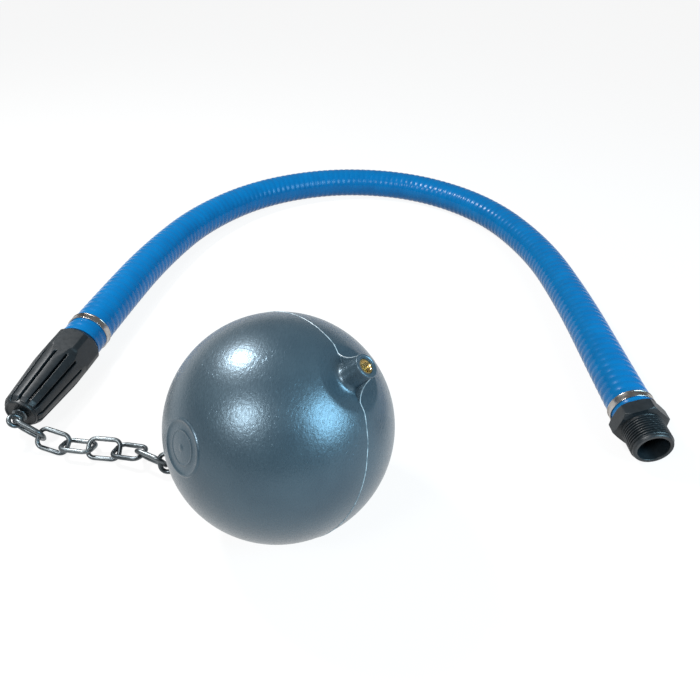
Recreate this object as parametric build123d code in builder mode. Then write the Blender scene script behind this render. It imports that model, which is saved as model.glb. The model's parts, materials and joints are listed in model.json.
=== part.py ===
from build123d import *
from math import acos, asin, atan2, cos, degrees, dist, pi, radians, sin, sqrt, tan
import os

# Floating suction kit for drawing pool or tank water from just below the surface.
# A float ball carries a slotted foot-valve strainer on a short chain, and a ribbed
# hose leads from the strainer to a threaded adapter.  Millimetres, +Z up, floor at z = 0.

os.makedirs("parts", exist_ok=True)

# ---------------------------------------------------------------- driving dimensions
HOSE_OD = 36.0               # suction hose over its ribs
HOSE_WALL = 3.0
HEAD_R = 21.2                # round of the strainer head, over the corners of its flats
HEAD_APOTHEM = 19.3          # centre to flat
HEAD_TURN = 49.0             # one corner of the flats, degrees up from level
HEAD_REST_TURN = 12.8        # from straight down to the edge of the corner it lies on
HEAD_LEN = 28.7              # top face to the start of the cone
CONE_LEN = 57.0
CONE_TIP_R = 15.5
NOSE_R = 12.5
NOSE_LEN = 5.4
HEAD_CHAMFER = 4.0
BASKET_WALL = 2.4
SLOT_COUNT = 13
SLOT_WIDTH = 1.8
SLOT_START = 34.0            # from the top face of the head
SLOT_END = 84.7
FIRST_SLOT = 6.5             # degrees round from the upper corner
TAIL_LEN = 32.0              # hose tail inside the hose
TAIL_BORE_R = 11.5
SPIGOT_LEN = 8.0
GASKET_THICK = 1.5
GUIDE_THICK = 2.5
SEAT_THICK = 3.0
SEAT_R = 9.5
POPPET_THICK = 3.0
SEAL_THICK = 1.5
STEM_R = 2.0
POPPET_TRAVEL = 6.0
EYE_WIRE_R = 1.7
EYE_RING_R = 4.5
EYE_SHANK_R = 2.5
LINK_WIRE = 3.4              # chain wire diameter
LINK_PITCH = 20.8            # inside length of a link
LINK_WIDTH = 14.8            # across, between wire centres
LINK_BEND = 5.3              # corner radius of the wire's centre line
BALL_R = 75.0
BALL_WALL = 3.0
BOSS_R = 6.0
BOSS_STAND = 13.0            # long boss above the round of the ball
LAND_R = 20.0                # flat land round each boss
LOW_BOSS_R = 8.0
LOW_BOSS_STAND = 4.0
INSERT_R = 4.8
INSERT_HOLE_R = 3.4
INSERT_LEN = 12.0
MEDALLION_R = 15.0
SEAM_TURN = 54.4             # mould seam round the boss axis, degrees from the eye's crosswise line
FIN_THICK = 1.4              # gussets beside the long boss, in the seam
FIN_SPREAD = 14.0            # how far a gusset runs out from the boss
ADAPTER_AF = 39.0            # spanner flats
ADAPTER_HEX_LEN = 12.0
THREAD_R = 16.6              # 1 inch pipe thread over its crests
THREAD_LEN = 21.0
ADAPTER_LIP = 2.5
ADAPTER_BORE_R = 12.3
ADAPTER_HEADING = -80.34     # degrees from +X, the way the male thread points
CLAMP_WIDTH = 7.0
CLAMP_THICK = 0.9
INLET_CLAMP_AT = 18.6        # from the head
OUTLET_CLAMP_AT = 9.0        # from the adapter

# ---------------------------------------------------------------- named clearances
GAP = 0.3                    # between bodies that move
FIT = 0.05                   # between seated pieces
STEM_CLEAR = 0.08            # stem in its guide
FLOOR_CLEAR = 0.05
BARB_BITE = 0.45             # barb crest into the hose wall

# ---------------------------------------------------------------- derived
HOSE_R = HOSE_OD / 2
HOSE_BORE_R = HOSE_R - HOSE_WALL
HEAD_Z = HEAD_R * cos(radians(HEAD_REST_TURN)) + FLOOR_CLEAR
CONE_END = HEAD_LEN + CONE_LEN
NOSE_END = CONE_END + NOSE_LEN
NOSE_WALL_START = SLOT_END + 2.3
SPIGOT_R = HEAD_R - 4.45
SOCKET_R = SPIGOT_R + FIT
GASKET_START = SPIGOT_LEN
GUIDE_START = GASKET_START + GASKET_THICK
GUIDE_END = GUIDE_START + GUIDE_THICK
CHAMBER_R = SOCKET_R - 1.6
SEAT_START = HEAD_LEN - 1.7
SEAT_END = SEAT_START + SEAT_THICK
POPPET_R = (SEAT_R + CHAMBER_R) / 2 + 0.6
POPPET_BASE = SEAT_START - SEAL_THICK
POPPET_TOP = POPPET_BASE - POPPET_THICK
HUB_R = STEM_R + STEM_CLEAR + 2.4
HUB_START = GASKET_START - 3.0
STEM_END = HUB_START - 3.0
EYE_COLLAR_R = EYE_SHANK_R + 2.0
EYE_COLLAR_LEN = 3.0
EYE_CENTRE = NOSE_END + EYE_COLLAR_LEN - 0.4 + EYE_RING_R
WASHER_THICK = 1.0
NUT_THICK = 4.0
NUT_AF = 8.0
HEX_CORNER_R = ADAPTER_AF / 2 / cos(radians(30))
BOSS_REACH = BALL_R + BOSS_STAND
LOW_BOSS_REACH = BALL_R + LOW_BOSS_STAND
ADAPTER_Z = HEX_CORNER_R * cos(radians(8)) + FLOOR_CLEAR
BALL_EYE_REACH = LOW_BOSS_REACH + EYE_COLLAR_LEN - 1.5 + EYE_RING_R


def unit(direction):
    return direction.normalized()


def side_plane(base):
    # the plane through a part's axis: x is radial, y runs along the axis
    return Plane(origin=base.origin, x_dir=base.x_dir, z_dir=base.x_dir.cross(base.z_dir))


def station(base, along, turn=0.0):
    # a plane square to the axis of base, some way along it and turned about it
    turned = base.x_dir * cos(radians(turn)) + base.y_dir * sin(radians(turn))
    return Plane(origin=base.origin + base.z_dir * along, x_dir=turned, z_dir=base.z_dir)


# ---------------------------------------------------------------- where the chain lies
# Each link: heading in degrees from +X, slope in degrees, and lean of its plane in degrees.
LINK_LIE = [
    (-6.5, -25.5, -72.0),
    (-4.0, -10.0, 46.0),
    (1.5, 1.0, -18.0),
    (5.5, -1.5, 40.0),
    (-5.0, 7.5, -8.0),
    (-16.0, 1.0, 114.0),
    (14.0, 6.0, 66.0),
    (-9.5, -2.0, 14.0),
]


def link_directions(lie):
    heading, slope, lean = [radians(a) for a in lie]
    along = Vector(cos(slope) * cos(heading), cos(slope) * sin(heading), sin(slope))
    level = Vector(-sin(heading), cos(heading), 0)
    upright = along.cross(level)
    return along, level * cos(lean) + upright * sin(lean)


def toward(direction, along):
    return direction if direction.dot(along) > 0 else direction * -1


head_axis = Vector(0, -1, 0)
head_corner = Vector(cos(radians(HEAD_TURN)), 0, sin(radians(HEAD_TURN)))
eye_centre = Vector(0, -EYE_CENTRE, HEAD_Z)
first_along, _ = link_directions(LINK_LIE[0])
pull = unit(first_along - head_corner * first_along.dot(head_corner))
hold_at = eye_centre + pull * EYE_RING_R
hold_axis = head_corner.cross(pull)
hold_wire_r = EYE_WIRE_R
links = []
for lie in LINK_LIE:
    along, across = link_directions(lie)
    reach = toward(unit(hold_axis.cross(across)), along)
    centre = hold_at - reach * (hold_wire_r + LINK_WIRE / 2 + GAP) + along * (LINK_PITCH + LINK_WIRE) / 2
    links.append((centre, along, across, hold_at, hold_axis))
    hold_at = centre + along * (LINK_PITCH + LINK_WIRE) / 2
    hold_axis = across
    hold_wire_r = LINK_WIRE / 2

# the float's eye hangs on the last link, and the ball rests on the floor beside it
last_heading = radians(LINK_LIE[-1][0])
eye_across = Vector(-sin(last_heading), cos(last_heading), 0)
eye_tangent = eye_across.cross(along)
reach = toward(unit(hold_axis.cross(eye_tangent)), along)
float_eye_centre = hold_at - reach * (hold_wire_r + EYE_WIRE_R + GAP) + along * EYE_RING_R
lift = asin((BALL_R + FLOOR_CLEAR - float_eye_centre.Z) / BALL_EYE_REACH)
ball_axis = Vector(cos(lift) * cos(last_heading), cos(lift) * sin(last_heading), sin(lift))
ball_centre = float_eye_centre + ball_axis * BALL_EYE_REACH

# the part's origin is below the middle of everything but the hose
MID_X = (ball_centre.X + BALL_R - HEAD_R) / 2
MID_Y = (TAIL_LEN + ball_centre.Y - BALL_R) / 2
SHIFT = Vector(-MID_X, -MID_Y, 0)

HEAD = Plane(origin=Vector(0, 0, HEAD_Z) + SHIFT, x_dir=head_corner, z_dir=head_axis)
HEAD_SIDE = side_plane(HEAD)
FLOAT = Plane(origin=ball_centre + SHIFT, x_dir=eye_across, z_dir=ball_axis)
FLOAT_SIDE = side_plane(FLOAT)

# ---------------------------------------------------------------- strainer basket
# the flats run out in arcs where the cone falls below them
with BuildPart() as strainer_basket:
    with BuildSketch(HEAD_SIDE):
        with BuildLine():
            Polyline(
                (SOCKET_R, 0),
                (HEAD_R - 2.6, 0),
                (HEAD_R, HEAD_CHAMFER),
                (HEAD_R, HEAD_LEN),
                (CONE_TIP_R, CONE_END),
                (NOSE_R, NOSE_END),
                (EYE_SHANK_R + FIT, NOSE_END),
                (EYE_SHANK_R + FIT, NOSE_WALL_START),
                (CONE_TIP_R - BASKET_WALL, NOSE_WALL_START),
                (HEAD_R - BASKET_WALL - 0.2, SEAT_END),
                (SEAT_R, SEAT_END),
                (SEAT_R, SEAT_START),
                (CHAMBER_R, SEAT_START),
                (CHAMBER_R, GUIDE_END),
                (SOCKET_R, GUIDE_END),
                close=True,
            )
        make_face()
    revolve(axis=Axis(HEAD.origin, HEAD.z_dir))
    with BuildSketch(HEAD):
        RegularPolygon(HEAD_APOTHEM, 6, major_radius=False, rotation=0)
    extrude(amount=NOSE_END, mode=Mode.INTERSECT)
    slot_len = SLOT_END - SLOT_START
    slot_mid = (SLOT_END + SLOT_START) / 2
    slot_from = NOSE_R - 2.0
    for i in range(SLOT_COUNT):
        cut = station(HEAD, slot_mid, FIRST_SLOT + i * 360 / SLOT_COUNT)
        face = Plane(origin=cut.origin + cut.x_dir * slot_from, x_dir=cut.z_dir, z_dir=cut.x_dir)
        with BuildSketch(face):
            SlotOverall(slot_len, SLOT_WIDTH)
        extrude(amount=HEAD_R, mode=Mode.SUBTRACT)
strainer_basket.part.label = "strainer_basket"
export_step(strainer_basket.part, "parts/strainer_basket.step")


# ---------------------------------------------------------------- hose tails
def barbs(root_r, crest_r, length, count):
    # saw-tooth profile from the free end (y = -length) to y = 0, thin end first
    points = []
    step = length / count
    for i in range(count):
        points.append((root_r, -length + i * step))
        points.append((crest_r, -length + (i + 0.75) * step))
        points.append((root_r, -length + (i + 0.8) * step))
    points.append((root_r, 0))
    return points


BARB_ROOT_R = HOSE_BORE_R - 0.5
BARB_CREST_R = HOSE_BORE_R + BARB_BITE

with BuildPart() as hose_tail:
    with BuildSketch(HEAD_SIDE):
        with BuildLine():
            Polyline(
                *barbs(BARB_ROOT_R, BARB_CREST_R, TAIL_LEN, 5),
                (SPIGOT_R, 0),
                (SPIGOT_R, SPIGOT_LEN),
                (TAIL_BORE_R, SPIGOT_LEN),
                (TAIL_BORE_R, -TAIL_LEN),
                close=True,
            )
        make_face()
    revolve(axis=Axis(HEAD.origin, HEAD.z_dir))
hose_tail.part.label = "hose_tail"
export_step(hose_tail.part, "parts/hose_tail.step")

# ---------------------------------------------------------------- foot valve
with BuildPart() as head_gasket:
    with BuildSketch(station(HEAD, GASKET_START)):
        Circle(SPIGOT_R)
        Circle(TAIL_BORE_R + 0.5, mode=Mode.SUBTRACT)
    extrude(amount=GASKET_THICK)
head_gasket.part.label = "head_gasket"
export_step(head_gasket.part, "parts/head_gasket.step")

with BuildPart() as stem_guide:
    with BuildSketch(station(HEAD, GUIDE_START)):
        Circle(SPIGOT_R)
        Circle(CHAMBER_R - 2.0, mode=Mode.SUBTRACT)
        with PolarLocations(0, 3):
            with Locations((CHAMBER_R / 2, 0)):
                Rectangle(CHAMBER_R, 3.0)
    extrude(amount=GUIDE_THICK)
    with BuildSketch(station(HEAD, HUB_START)):
        Circle(HUB_R)
    extrude(amount=GUIDE_END - HUB_START)
    with BuildSketch(station(HEAD, HUB_START)):
        Circle(STEM_R + STEM_CLEAR)
    extrude(amount=GUIDE_END - HUB_START, mode=Mode.SUBTRACT)
stem_guide.part.label = "stem_guide"
export_step(stem_guide.part, "parts/stem_guide.step")

with BuildPart() as poppet:
    with BuildSketch(station(HEAD, POPPET_TOP)):
        Circle(POPPET_R)
    extrude(amount=POPPET_THICK)
    with BuildSketch(station(HEAD, STEM_END)):
        Circle(STEM_R)
    extrude(amount=POPPET_TOP - STEM_END)
poppet.part.label = "poppet"
export_step(poppet.part, "parts/poppet.step")

with BuildPart() as poppet_seal:
    with BuildSketch(station(HEAD, POPPET_BASE)):
        Circle(POPPET_R)
    extrude(amount=SEAL_THICK)
poppet_seal.part.label = "poppet_seal"
export_step(poppet_seal.part, "parts/poppet_seal.step")


# ---------------------------------------------------------------- screw eyes
def screw_eye(base, shank_from, collar_from, ring_at):
    # base carries the axis; distances are measured along it
    with BuildPart() as eye:
        with BuildSketch(station(base, shank_from)):
            Circle(EYE_SHANK_R)
        extrude(amount=collar_from - shank_from)
        with BuildSketch(station(base, collar_from)):
            Circle(EYE_COLLAR_R)
        extrude(amount=EYE_COLLAR_LEN, taper=8)
        with Locations(Plane(origin=base.origin + base.z_dir * ring_at, z_dir=base.x_dir)):
            Torus(EYE_RING_R, EYE_WIRE_R)
    return eye.part


eye_bolt = screw_eye(HEAD, NOSE_WALL_START - WASHER_THICK - NUT_THICK - 2.0, NOSE_END, EYE_CENTRE)
eye_bolt.label = "eye_bolt"
export_step(eye_bolt, "parts/eye_bolt.step")

with BuildPart() as eye_washer:
    with BuildSketch(station(HEAD, NOSE_WALL_START - WASHER_THICK)):
        Circle(2.1 * EYE_SHANK_R)
        Circle(EYE_SHANK_R + FIT, mode=Mode.SUBTRACT)
    extrude(amount=WASHER_THICK)
eye_washer.part.label = "eye_washer"
export_step(eye_washer.part, "parts/eye_washer.step")

with BuildPart() as eye_nut:
    with BuildSketch(station(HEAD, NOSE_WALL_START - WASHER_THICK - NUT_THICK)):
        RegularPolygon(NUT_AF / 2, 6, major_radius=False)
        Circle(EYE_SHANK_R + FIT, mode=Mode.SUBTRACT)
    extrude(amount=NUT_THICK)
eye_nut.part.label = "eye_nut"
export_step(eye_nut.part, "parts/eye_nut.step")


# ---------------------------------------------------------------- chain
def chain_link(centre, along, across):
    flat = Plane(origin=centre, x_dir=along, z_dir=along.cross(across))
    with BuildPart() as link:
        with BuildSketch(flat, mode=Mode.PRIVATE) as shape:
            RectangleRounded(LINK_PITCH + LINK_WIRE, LINK_WIDTH, LINK_BEND)
        path = shape.sketch.face().outer_wire()
        with BuildSketch(Plane(origin=path @ 0, z_dir=path % 0)):
            Circle(LINK_WIRE / 2)
        sweep(path=path)
    return link.part


for number, (centre, along, across, _, _) in enumerate(links, start=1):
    link = chain_link(centre + SHIFT, along, across)
    link.label = f"chain_link_{number}"
    export_step(link, f"parts/chain_link_{number}.step")

# ---------------------------------------------------------------- float ball
LAND_REACH = sqrt(BALL_R**2 - LAND_R**2)
CAVITY_R = BALL_R - BALL_WALL
CAVITY_REACH = LAND_REACH - BALL_WALL
medallion_dir = unit(Vector(-0.55, -0.75, 0.36))
MEDALLION = Plane(origin=FLOAT.origin, z_dir=medallion_dir)

with BuildPart() as cavity:
    Sphere(CAVITY_R)
    with BuildSketch(Plane.XY.offset(-CAVITY_REACH)):
        Circle(BALL_R)
    extrude(amount=2 * CAVITY_REACH, mode=Mode.INTERSECT)
    with BuildSketch(Plane.XY.offset(-LOW_BOSS_REACH + INSERT_LEN + BALL_WALL)):
        Circle(LOW_BOSS_R)
    extrude(amount=-LOW_BOSS_REACH, mode=Mode.SUBTRACT)

with BuildPart() as medallion_recess:
    with BuildSketch(Plane.XY):
        Circle(MEDALLION_R)
    extrude(amount=2 * BALL_R)
    Sphere(BALL_R - 0.8, mode=Mode.SUBTRACT)

with BuildPart() as medallion_rim:
    with BuildSketch(Plane.XY):
        Circle(MEDALLION_R + 1.4)
        Circle(MEDALLION_R, mode=Mode.SUBTRACT)
    extrude(amount=2 * BALL_R)
    Sphere(BALL_R + 0.5, mode=Mode.INTERSECT)
    Sphere(BALL_R - 1.0, mode=Mode.SUBTRACT)

with BuildPart() as float_ball:
    with Locations(FLOAT):
        Sphere(BALL_R)
    with BuildSketch(station(FLOAT, -LAND_REACH)):
        Circle(BALL_R + 1)
    extrude(amount=2 * LAND_REACH, mode=Mode.INTERSECT)
    add(MEDALLION.location * medallion_recess.part, mode=Mode.SUBTRACT)
    add(MEDALLION.location * medallion_rim.part)
    with BuildSketch(station(FLOAT, LAND_REACH - 1)):
        Circle(BOSS_R)
    extrude(amount=BOSS_REACH - LAND_REACH + 1)
    with BuildSketch(station(FLOAT, -LAND_REACH + 1)):
        Circle(LOW_BOSS_R)
    extrude(amount=-(LOW_BOSS_REACH - LAND_REACH + 1))
    for side in (SEAM_TURN, SEAM_TURN + 180):
        seam_side = side_plane(station(FLOAT, 0, side))
        rise = BOSS_REACH - LAND_REACH
        with BuildSketch(seam_side):
            with BuildLine():
                Polyline(
                    (BOSS_R - 1, LAND_REACH - 1),
                    (BOSS_R - 1, BOSS_REACH - 1),
                    (BOSS_R + 0.6, BOSS_REACH - 1),
                    (BOSS_R + 0.18 * FIN_SPREAD, LAND_REACH + 0.52 * rise),
                    (BOSS_R + 0.45 * FIN_SPREAD, LAND_REACH + 0.24 * rise),
                    (BOSS_R + FIN_SPREAD, LAND_REACH - 1),
                    close=True,
                )
            make_face()
        extrude(amount=FIN_THICK / 2, both=True)
    add(FLOAT.location * cavity.part, mode=Mode.SUBTRACT)
    with BuildSketch(station(FLOAT, BOSS_REACH)):
        Circle(INSERT_R + FIT)
    extrude(amount=-(INSERT_LEN + 1), mode=Mode.SUBTRACT)
    with BuildSketch(station(FLOAT, -LOW_BOSS_REACH)):
        Circle(INSERT_R + FIT)
    extrude(amount=INSERT_LEN, mode=Mode.SUBTRACT)
float_ball.part.label = "float_ball"
export_step(float_ball.part, "parts/float_ball.step")


def brass_insert(top, hole_r, depth):
    with BuildPart() as insert:
        with BuildSketch(top):
            Circle(INSERT_R)
            Circle(hole_r, mode=Mode.SUBTRACT)
        extrude(amount=-depth)
    return insert.part


insert_top = brass_insert(station(FLOAT, BOSS_REACH - 1), INSERT_HOLE_R, INSERT_LEN)
insert_top.label = "insert_top"
export_step(insert_top, "parts/insert_top.step")

LOW = Plane(origin=FLOAT.origin, x_dir=FLOAT.x_dir, z_dir=FLOAT.z_dir * -1)
insert_bottom = brass_insert(station(LOW, LOW_BOSS_REACH), EYE_SHANK_R + FIT, INSERT_LEN)
insert_bottom.label = "insert_bottom"
export_step(insert_bottom, "parts/insert_bottom.step")

float_eye = screw_eye(LOW, LOW_BOSS_REACH - INSERT_LEN + 1.5, LOW_BOSS_REACH, BALL_EYE_REACH)
float_eye.label = "float_eye"
export_step(float_eye, "parts/float_eye.step")

# ---------------------------------------------------------------- hose
# The hose leaves the head along its axis, lies on the floor in a loop and meets the adapter.
# Control points as laid out from the head: x, y and height of the centre line.
LIE_Z = HOSE_R + 0.2
OUT = Vector(-cos(radians(ADAPTER_HEADING)), -sin(radians(ADAPTER_HEADING)), 0)
END_X = 485.7
END_Y = -1.0
END_RUN = 57.0
ROUTE = [
    (0, 0, HEAD_Z),
    (0, 60, HEAD_Z),
    (1, 163, LIE_Z + 0.6),
    (19, 268, LIE_Z),
    (73, 362, LIE_Z),
    (165, 424, LIE_Z),
    (275, 433, LIE_Z),
    (373, 381, LIE_Z),
    (434, 281, LIE_Z),
    (461, 168, LIE_Z + 0.8),
    (END_X + END_RUN * OUT.X, END_Y + END_RUN * OUT.Y, ADAPTER_Z),
    (END_X, END_Y, ADAPTER_Z),
]
route = [Vector(*p) + SHIFT for p in ROUTE]
bend_radii = []
for i in range(1, len(route) - 1):
    before = route[i] - route[i - 1]
    after = route[i + 1] - route[i]
    half_turn = radians(before.get_angle(after)) / 2
    bend_radii.append(0.45 * min(before.length, after.length) / tan(half_turn))
print("hose bend radii, mm:", [round(r) for r in bend_radii])

with BuildPart() as suction_hose:
    with BuildLine():
        hose_path = FilletPolyline(*route, radius=bend_radii)
    with BuildSketch(Plane(origin=hose_path @ 0, z_dir=hose_path % 0)):
        Circle(HOSE_R)
        Circle(HOSE_BORE_R, mode=Mode.SUBTRACT)
    sweep(path=hose_path)
suction_hose.part.label = "suction_hose"
export_step(suction_hose.part, "parts/suction_hose.step")
expected = pi * (HOSE_R**2 - HOSE_BORE_R**2) * hose_path.length
print("hose length, mm:", round(hose_path.length, 1))
print("hose volume over section times length:", round(suction_hose.part.volume / expected, 4))

# ---------------------------------------------------------------- threaded adapter
adapter_axis = OUT * -1
adapter_flat = Vector(-adapter_axis.Y, adapter_axis.X, 0)
hex_corner = adapter_flat * cos(radians(22)) + Vector(0, 0, 1) * sin(radians(22))
ADAPTER = Plane(origin=route[-1], x_dir=hex_corner, z_dir=adapter_axis)
ADAPTER_SIDE = side_plane(ADAPTER)
THREAD_END = ADAPTER_HEX_LEN + THREAD_LEN
ADAPTER_END = THREAD_END + ADAPTER_LIP

with BuildPart() as thread_adapter:
    with BuildSketch(ADAPTER_SIDE):
        with BuildLine():
            Polyline(
                *barbs(BARB_ROOT_R, BARB_CREST_R, TAIL_LEN, 5),
                (HEX_CORNER_R - 2.2, 0),
                (HEX_CORNER_R, 1.4),
                (HEX_CORNER_R, ADAPTER_HEX_LEN - 1.4),
                (HEX_CORNER_R - 2.2, ADAPTER_HEX_LEN),
                (THREAD_R, ADAPTER_HEX_LEN),
                (THREAD_R, THREAD_END),
                (THREAD_R - 0.8, THREAD_END),
                (THREAD_R - 1.6, ADAPTER_END),
                (ADAPTER_BORE_R, ADAPTER_END),
                (ADAPTER_BORE_R, -TAIL_LEN),
                close=True,
            )
        make_face()
    revolve(axis=Axis(ADAPTER.origin, ADAPTER.z_dir))
    with BuildSketch(station(ADAPTER, -TAIL_LEN)):
        RegularPolygon(ADAPTER_AF / 2, 6, major_radius=False, rotation=0)
    extrude(amount=TAIL_LEN + ADAPTER_END, mode=Mode.INTERSECT)
thread_adapter.part.label = "thread_adapter"
export_step(thread_adapter.part, "parts/thread_adapter.step")


# ---------------------------------------------------------------- clamps
def band_clamp(mid):
    # a pinched ear on one side draws the band tight
    band_r = HOSE_R + FIT
    with BuildPart() as clamp:
        with BuildSketch(mid):
            Circle(band_r + CLAMP_THICK)
            with Locations((band_r + 1.2, 0)):
                Rectangle(5.0, 7.5)
            with Locations((band_r + 1.6, 0)):
                Rectangle(2.6, 4.2, mode=Mode.SUBTRACT)
            Circle(band_r, mode=Mode.SUBTRACT)
        extrude(amount=CLAMP_WIDTH / 2, both=True)
    return clamp.part


inlet_clamp = band_clamp(station(HEAD, -INLET_CLAMP_AT, 225 - HEAD_TURN))
inlet_clamp.label = "inlet_clamp"
export_step(inlet_clamp, "parts/inlet_clamp.step")

outlet_clamp = band_clamp(station(ADAPTER, -OUTLET_CLAMP_AT, -45 - 22))
outlet_clamp.label = "outlet_clamp"
export_step(outlet_clamp, "parts/outlet_clamp.step")

# ---------------------------------------------------------------- figures for the record
print("ball centre", [round(v, 3) for v in FLOAT.origin])
print("ball axis", [round(v, 5) for v in ball_axis])
print("head origin", [round(v, 3) for v in HEAD.origin])
print("adapter origin", [round(v, 3) for v in ADAPTER.origin])
print("adapter axis", [round(v, 5) for v in adapter_axis])
for number, (centre, along, across, pin, pin_axis) in enumerate(links, start=1):
    low = centre.Z - (LINK_WIDTH / 2) * abs(across.Z) - LINK_WIRE / 2
    print("link", number, "hinge", [round(v, 3) for v in (pin + SHIFT)])
    print("   axis", [round(v, 5) for v in pin_axis], "lowest", round(low, 2))
print("float hinge", [round(v, 3) for v in (hold_at + SHIFT)])
print("   axis", [round(v, 5) for v in hold_axis])
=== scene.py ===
# %% [markdown]
# # Floating suction kit
# A float ball holds a slotted strainer just below the surface of a pool or tank.  A ribbed
# hose carries the water from the strainer to a threaded adapter.  This notebook dresses the
# engineering model: it keeps the model's places and sizes, and gives each piece its true
# surface.  The model is loaded as a fixed frame, so every new piece is made in the same
# metres and rides on the same bodies.

# %% Load the model
import bpy
import json
from math import sin, cos, pi, radians, degrees, sqrt, exp, asin, atan2, hypot
from mathutils import Vector, Matrix, noise


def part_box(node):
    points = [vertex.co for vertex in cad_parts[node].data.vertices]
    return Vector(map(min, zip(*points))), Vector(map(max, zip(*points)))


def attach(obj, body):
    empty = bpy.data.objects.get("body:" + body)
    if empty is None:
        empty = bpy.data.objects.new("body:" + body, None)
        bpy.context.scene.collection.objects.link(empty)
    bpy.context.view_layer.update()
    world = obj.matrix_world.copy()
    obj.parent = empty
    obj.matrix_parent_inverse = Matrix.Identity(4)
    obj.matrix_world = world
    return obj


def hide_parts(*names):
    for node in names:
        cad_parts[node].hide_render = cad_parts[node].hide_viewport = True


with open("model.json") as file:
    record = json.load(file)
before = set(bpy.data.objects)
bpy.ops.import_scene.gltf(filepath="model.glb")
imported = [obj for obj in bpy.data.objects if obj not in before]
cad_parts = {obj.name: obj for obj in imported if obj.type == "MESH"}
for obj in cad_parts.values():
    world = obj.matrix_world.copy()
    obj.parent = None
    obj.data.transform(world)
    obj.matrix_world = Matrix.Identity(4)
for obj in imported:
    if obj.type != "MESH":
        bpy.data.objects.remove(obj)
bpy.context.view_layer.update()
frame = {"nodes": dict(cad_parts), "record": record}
MM = 0.001
record = frame["record"]
mounts = {mount["name"]: mount for mount in record["mounts"]}

# %% [markdown]
# ## Where the pieces are
# Every place comes from the model, so nothing has to be fitted by eye.  The hose tail is a
# turned piece, so the middle of its box is the strainer's axis.  The adapter and the ball
# are found from their mounts.  Distances are in millimetres, as on a drawing, and are
# multiplied by MM where they meet Blender's metres.

# %% Places of the pieces
TAIL_IN_HEAD = 8.0
HEAD_TURN = radians(49)
ADAPTER_TO_MOUNT = 22.5
BALL_TO_MOUNT = 81.0
BALL_R = 75.0

tail_low, tail_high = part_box("hose_tail")
HEAD = Vector((
    (tail_low.x + tail_high.x) / 2,
    tail_low.y + TAIL_IN_HEAD * MM,
    (tail_low.z + tail_high.z) / 2,
))
HEAD_AXIS = Vector((0, -1, 0))
HEAD_CORNER = Vector((cos(HEAD_TURN), 0, sin(HEAD_TURN)))

thread_mount = mounts["male_thread"]
ADAPTER_AXIS = Vector(thread_mount["axis"]).normalized()
ADAPTER = Vector(thread_mount["pos_m"]) - ADAPTER_AXIS * ADAPTER_TO_MOUNT * MM

insert_mount = mounts["float_insert"]
BALL_AXIS = Vector(insert_mount["axis"]).normalized()
BALL = Vector(insert_mount["pos_m"]) - BALL_AXIS * BALL_TO_MOUNT * MM
print("ball centre", BALL, "adapter", ADAPTER)

# A camera can be aimed with a constraint, but writing its three axes down keeps the small
# lean of the horizon as well.

# %% Camera axes
YAW = radians(6.8)
PITCH = radians(38.70)
LEAN = radians(3.0)


def yawed(x, y, z):
    return Vector((x * cos(YAW) - y * sin(YAW), x * sin(YAW) + y * cos(YAW), z))


look = yawed(0, cos(PITCH), -sin(PITCH))
level_right = yawed(1, 0, 0)
level_up = yawed(0, sin(PITCH), cos(PITCH))
right = level_right * cos(LEAN) + level_up * sin(LEAN)
up = level_up * cos(LEAN) - level_right * sin(LEAN)
print("camera looks along", look)

# %% [markdown]
# ### Lens and place
# The lens is worked out from a focal length in pixels and the picture's width, because that
# pair means the same for a sensor of any size.  The camera stands about 0.6 m from the
# strainer and 0.36 m above the floor.

# %% Camera
SENSOR_WIDTH = 36
FOCAL_PIXELS = 590
PICTURE_WIDTH = 700
CAMERA_FROM_HEAD = Vector((291.2, -379, 0))
CAMERA_HEIGHT = 359.1

camera_data = bpy.data.cameras.new("camera")
camera_data.sensor_width = SENSOR_WIDTH
camera_data.lens = SENSOR_WIDTH * FOCAL_PIXELS / PICTURE_WIDTH
camera_data.clip_start = 0.01
camera = bpy.data.objects.new("camera", camera_data)
bpy.context.scene.collection.objects.link(camera)
spot = HEAD + CAMERA_FROM_HEAD * MM
axes = Matrix((right, up, -look)).transposed().to_4x4()
camera.matrix_world = Matrix.Translation((spot.x, spot.y, CAMERA_HEIGHT * MM)) @ axes
bpy.context.scene.camera = camera
print("lens", camera_data.lens)

# %% [markdown]
# ## The hose's line
# A stiff hose leaves its fittings straight and then takes one easy loop on the floor.  A
# NURBS spline has the same habit: it stays smooth and cuts gently inside its control points.
# The points are the model's own route, in millimetres across and along from the strainer's
# head, and up from the floor.

# %% Route of the hose
LIE_Z = 18.2
STRAIGHT_TO_ADAPTER = 57.0
HEAD_Z = HEAD.z / MM
ADAPTER_Z = ADAPTER.z / MM
end = (ADAPTER - HEAD) / MM
run = ADAPTER_AXIS * -STRAIGHT_TO_ADAPTER
ROUTE = [
    (0, 0, HEAD_Z),
    (0, 60, HEAD_Z),
    (1, 163, LIE_Z + 0.6),
    (19, 268, LIE_Z),
    (73, 362, LIE_Z),
    (165, 424, LIE_Z),
    (275, 433, LIE_Z),
    (373, 381, LIE_Z),
    (434, 281, LIE_Z),
    (461, 168, LIE_Z + 0.8),
    (end.x + run.x, end.y + run.y, ADAPTER_Z),
    (end.x, end.y, ADAPTER_Z),
]
print("route points", len(ROUTE))

# %% [markdown]
# ### From the route to a measured line
# The spline's order is set once its points exist, because a short spline can't have a high
# order.  A curve with no bevel turns into a plain line of points, and adding up the steps
# between them gives the hose's real length.

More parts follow.
